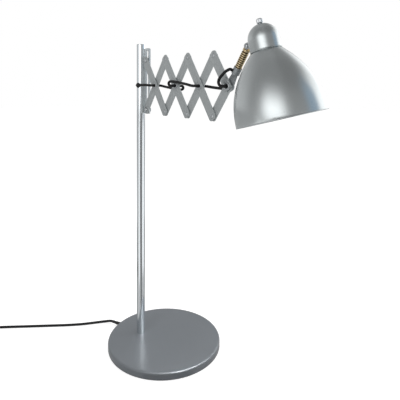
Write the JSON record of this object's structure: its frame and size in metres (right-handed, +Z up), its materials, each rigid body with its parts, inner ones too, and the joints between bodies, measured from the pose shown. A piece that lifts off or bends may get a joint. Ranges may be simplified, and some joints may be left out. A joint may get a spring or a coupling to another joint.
{
  "type": "accordion desk lamp",
  "caption": "Desk lamp: a round weighted base, an upright pole, a riveted accordion arm that slides in and out, and a bell shade on a leaning brass stem.",
  "frame": {"origin": "centre of the round base, on the desk that it stands on", "axes": "+Z up along the pole, +X the way the accordion arm reaches out, +Y to the arm's back side"},
  "size_m": [0.6259, 0.4613, 0.6007],
  "materials": {
    "grey_enamel": "semi-gloss grey enamel on spun sheet steel",
    "cast_iron": "raw cast iron",
    "foam_rubber": "matt foam rubber",
    "black_flex": "black flex sheath, satin",
    "black_plastic": "black moulded plastic",
    "black_rubber": "black rubber",
    "plated_pins": "nickel-plated brass",
    "polished_tube": "satin chrome plate",
    "zinc_steel": "zinc-plated steel",
    "brass": "polished brass",
    "bar_steel": "satin grey plated steel strip",
    "rivet_nickel": "nickel-plated steel",
    "nylon": "natural nylon",
    "silver_shade": "spun aluminium with satin silver lacquer",
    "holder_white": "off-white moulded plastic",
    "opal_glass": "opal white glass",
    "bulb_metal": "bright bulb cap",
    "knob_chrome": "polished chrome"
  },
  "bodies": {
    "base": {"base_cover": "grey_enamel", "base_weight": "cast_iron", "base_pad": "foam_rubber", "foot_washer": "zinc_steel", "cord_guard": "black_plastic", "mains_cord": "black_flex", "cord_coil": "black_flex", "cord_tie": "black_plastic", "plug_body": "black_plastic", "plug_pins": "plated_pins"},
    "pole": {"pole_tube": "polished_tube", "foot_insert": "zinc_steel", "foot_stud": "brass", "foot_nut": "zinc_steel", "pole_plug": "polished_tube", "arm_bracket": "bar_steel", "pole_grommet": "black_rubber", "root_bolt": "rivet_nickel", "root_nut": "zinc_steel", "flex_1": "black_flex"},
    "back_bar_0": {"arm_b0": "bar_steel", "rivet_top_1": "rivet_nickel", "eyelet_1": "rivet_nickel", "flex_2": "black_flex"},
    "front_bar_0": {"arm_a0": "bar_steel", "slot_pin": "rivet_nickel", "slot_roller": "nylon", "rivet_bottom_1": "rivet_nickel"},
    "front_bar_1": {"arm_a1": "bar_steel", "rivet_bottom_2": "rivet_nickel"},
    "back_bar_1": {"arm_b1": "bar_steel", "rivet_top_2": "rivet_nickel", "eyelet_2": "rivet_nickel", "flex_3": "black_flex"},
    "front_bar_2": {"arm_a2": "bar_steel", "rivet_bottom_3": "rivet_nickel"},
    "back_bar_2": {"arm_b2": "bar_steel", "rivet_top_3": "rivet_nickel", "eyelet_3": "rivet_nickel", "flex_4": "black_flex"},
    "front_bar_3": {"arm_a3": "bar_steel"},
    "back_bar_3": {"arm_b3": "bar_steel"},
    "tip": {"tip_bolt": "rivet_nickel", "tip_nut": "zinc_steel"},
    "fork": {"head_fork": "bar_steel", "brass_stem": "brass", "flex_5": "black_flex"},
    "swivel": {"stem_swivel": "brass"},
    "head": {"cap_lug": "rivet_nickel", "knuckle_screw": "rivet_nickel", "knuckle_nut": "zinc_steel", "shade_cap": "silver_shade", "shade_bell": "silver_shade", "lamp_holder": "holder_white", "holder_ring": "holder_white", "bulb_glass": "opal_glass", "bulb_cap": "bulb_metal", "switch_body": "black_plastic"},
    "knob": {"switch_knob": "knob_chrome"}
  },
  "joints": [
    {"name": "pole_swivel", "type": "hinge", "parent": "base", "child": "pole", "pos_m": [-0.04142, -0.02976, 0], "axis": [0, 0, 1], "range_deg": [-170, 170]},
    {"name": "fold", "type": "hinge", "parent": "pole", "child": "back_bar_0", "pos_m": [-0.02292, -0.02976, 0.46578], "axis": [0, 1, 0], "range_deg": [-18, 20], "deforming": ["flex_1"]},
    {"name": "front_bar_0_pivot", "type": "hinge", "parent": "back_bar_0", "child": "front_bar_0", "pos_m": [0.0097, -0.02976, 0.511], "axis": [0, 1, 0], "range_deg": [-41, 37], "deforming": ["flex_2"]},
    {"name": "front_bar_1_pivot", "type": "hinge", "parent": "back_bar_0", "child": "front_bar_1", "pos_m": [0.04231, -0.02976, 0.55622], "axis": [0, 1, 0], "range_deg": [-41, 37]},
    {"name": "back_bar_1_pivot", "type": "hinge", "parent": "front_bar_1", "child": "back_bar_1", "pos_m": [0.07492, -0.02976, 0.511], "axis": [0, 1, 0], "range_deg": [-37, 41], "deforming": ["flex_3"]},
    {"name": "front_bar_2_pivot", "type": "hinge", "parent": "back_bar_1", "child": "front_bar_2", "pos_m": [0.10753, -0.02976, 0.55622], "axis": [0, 1, 0], "range_deg": [-41, 37]},
    {"name": "back_bar_2_pivot", "type": "hinge", "parent": "front_bar_2", "child": "back_bar_2", "pos_m": [0.14014, -0.02976, 0.511], "axis": [0, 1, 0], "range_deg": [-37, 41], "deforming": ["flex_4"]},
    {"name": "front_bar_3_pivot", "type": "hinge", "parent": "back_bar_2", "child": "front_bar_3", "pos_m": [0.17275, -0.02976, 0.55622], "axis": [0, 1, 0], "range_deg": [-41, 37]},
    {"name": "back_bar_3_pivot", "type": "hinge", "parent": "front_bar_3", "child": "back_bar_3", "pos_m": [0.20536, -0.02976, 0.511], "axis": [0, 1, 0], "range_deg": [-37, 41]},
    {"name": "tip_level", "type": "hinge", "parent": "front_bar_3", "child": "tip", "pos_m": [0.20536, -0.02976, 0.511], "axis": [0, 1, 0], "range_deg": [-19, 21]},
    {"name": "fork_tilt", "type": "hinge", "parent": "front_bar_3", "child": "fork", "pos_m": [0.20536, -0.02976, 0.511], "axis": [0, 1, 0], "range_deg": [-14, 10], "deforming": ["flex_5"]},
    {"name": "head_swivel", "type": "hinge", "parent": "fork", "child": "swivel", "pos_m": [0.20536, -0.02656, 0.511], "axis": [0.5592, 0, 0.829], "range_deg": [-60, 60]},
    {"name": "shade_tilt", "type": "hinge", "parent": "swivel", "child": "head", "pos_m": [0.24224, -0.02656, 0.56568], "axis": [-0.1297, 0.9877, 0.0875], "range_deg": [-70, 4]},
    {"name": "switch_turn", "type": "hinge", "parent": "head", "child": "knob", "pos_m": [0.26262, -0.02634, 0.59344], "axis": [-0.2343, -0.1163, 0.9652], "continuous": true}
  ],
  "couplings": [
    {"joint": "front_bar_0_pivot", "follows": "fold", "ratio": -2},
    {"joint": "front_bar_1_pivot", "follows": "fold", "ratio": -2},
    {"joint": "back_bar_1_pivot", "follows": "fold", "ratio": 2},
    {"joint": "front_bar_2_pivot", "follows": "fold", "ratio": -2},
    {"joint": "back_bar_2_pivot", "follows": "fold", "ratio": 2},
    {"joint": "front_bar_3_pivot", "follows": "fold", "ratio": -2},
    {"joint": "back_bar_3_pivot", "follows": "fold", "ratio": 2},
    {"joint": "tip_level", "follows": "fold", "ratio": 1}
  ]
}
